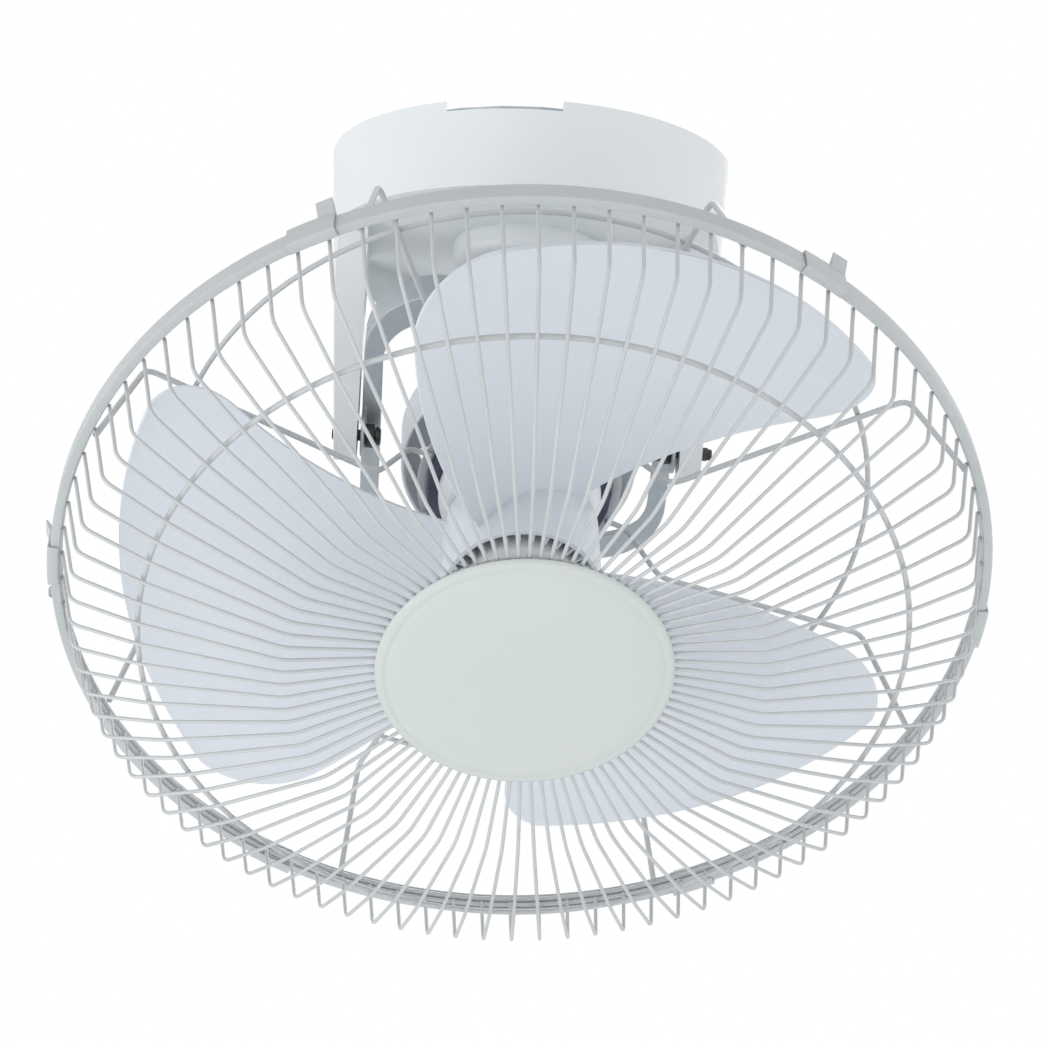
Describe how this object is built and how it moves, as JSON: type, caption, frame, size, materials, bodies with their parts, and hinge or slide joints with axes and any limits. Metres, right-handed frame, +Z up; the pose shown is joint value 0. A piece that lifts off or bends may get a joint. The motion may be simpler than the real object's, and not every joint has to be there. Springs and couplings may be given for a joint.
{
  "type": "orbital ceiling fan",
  "caption": "Orbital ceiling fan: a caged three-blade head tilted in a gimbal ring under a round ceiling canopy with two legs.",
  "frame": {"origin": "centre of the canopy's fixing plate, on the ceiling face", "axes": "+Z up into the ceiling, X along the line through the two gimbal pivots, -Y towards the side that the tilted fan head looks at"},
  "size_m": [0.469, 0.3753, 0.4126],
  "materials": {
    "canopy_plastic": "satin",
    "head_plastic": "satin",
    "blade_plastic": "satin",
    "emblem_plastic": "satin",
    "spinner_plastic": "satin",
    "coated_wire": "satin",
    "painted_steel": "satin",
    "galvanised_steel": "metallic",
    "dark_nylon": "satin",
    "laminated_steel": "matte",
    "copper_winding": "satin",
    "polished_steel": "polished",
    "black_oxide_steel": "satin",
    "black_plastic": "satin"
  },
  "bodies": {
    "canopy": {"ceiling_plate": "galvanised_steel", "canopy_shell": "canopy_plastic", "hanger_fork": "galvanised_steel", "pivot_screw_left": "black_oxide_steel", "pivot_screw_right": "black_oxide_steel", "orbit_seat": "dark_nylon", "terminal_block": "head_plastic", "capacitor": "black_plastic"},
    "gimbal": {"gimbal_ring": "galvanised_steel", "pivot_bush_left": "dark_nylon", "pivot_bush_right": "dark_nylon", "cross_pin_front": "polished_steel", "cross_pin_back": "polished_steel"},
    "head": {"motor_front_cover": "head_plastic", "motor_rear_cover": "head_plastic", "stator": "laminated_steel", "winding_front": "copper_winding", "winding_rear": "copper_winding", "bearing_front": "polished_steel", "bearing_rear": "polished_steel", "gearbox_case": "head_plastic", "gearbox_cover": "head_plastic", "front_guard": "coated_wire", "guard_mid_ring": "coated_wire", "guard_inner_ring": "coated_wire", "emblem": "emblem_plastic", "rear_spoke_1": "coated_wire", "rear_spoke_2": "coated_wire", "rear_spoke_3": "coated_wire", "rear_spoke_4": "coated_wire", "rear_spoke_5": "coated_wire", "rear_spoke_6": "coated_wire", "rear_spoke_7": "coated_wire", "rear_spoke_8": "coated_wire", "rear_ring": "coated_wire", "rear_rim": "coated_wire", "rear_hub_plate": "painted_steel", "guard_band": "painted_steel", "guard_clip_1": "painted_steel", "guard_clip_2": "painted_steel", "guard_clip_3": "painted_steel", "guard_clip_4": "painted_steel", "guard_clip_5": "painted_steel", "guard_clip_6": "painted_steel", "band_screw": "polished_steel"},
    "blades": {"fan_blades": "blade_plastic", "spinner": "spinner_plastic", "motor_shaft": "polished_steel", "rotor": "laminated_steel"},
    "crank": {"crank_arm": "galvanised_steel", "crank_ball": "dark_nylon"}
  },
  "joints": [
    {"name": "gimbal_pitch", "type": "hinge", "parent": "canopy", "child": "gimbal", "pos_m": [0, 0, -0.153], "axis": [1, 0, 0], "range_deg": [0, 81.4]},
    {"name": "gimbal_roll", "type": "hinge", "parent": "gimbal", "child": "head", "pos_m": [0, 0, -0.153], "axis": [0, 0.7581, -0.6521], "range_deg": [-39.2, 42.2]},
    {"name": "blade_spin", "type": "hinge", "parent": "head", "child": "blades", "pos_m": [0, 0, -0.153], "axis": [-0.0262, 0.6519, 0.7579], "continuous": true},
    {"name": "crank_spin", "type": "hinge", "parent": "head", "child": "crank", "pos_m": [0, 0, -0.153], "axis": [-0.0262, 0.6519, 0.7579], "continuous": true}
  ],
  "couplings": [
    {"joint": "crank_spin", "follows": "blade_spin", "ratio": 0.004643}
  ]
}
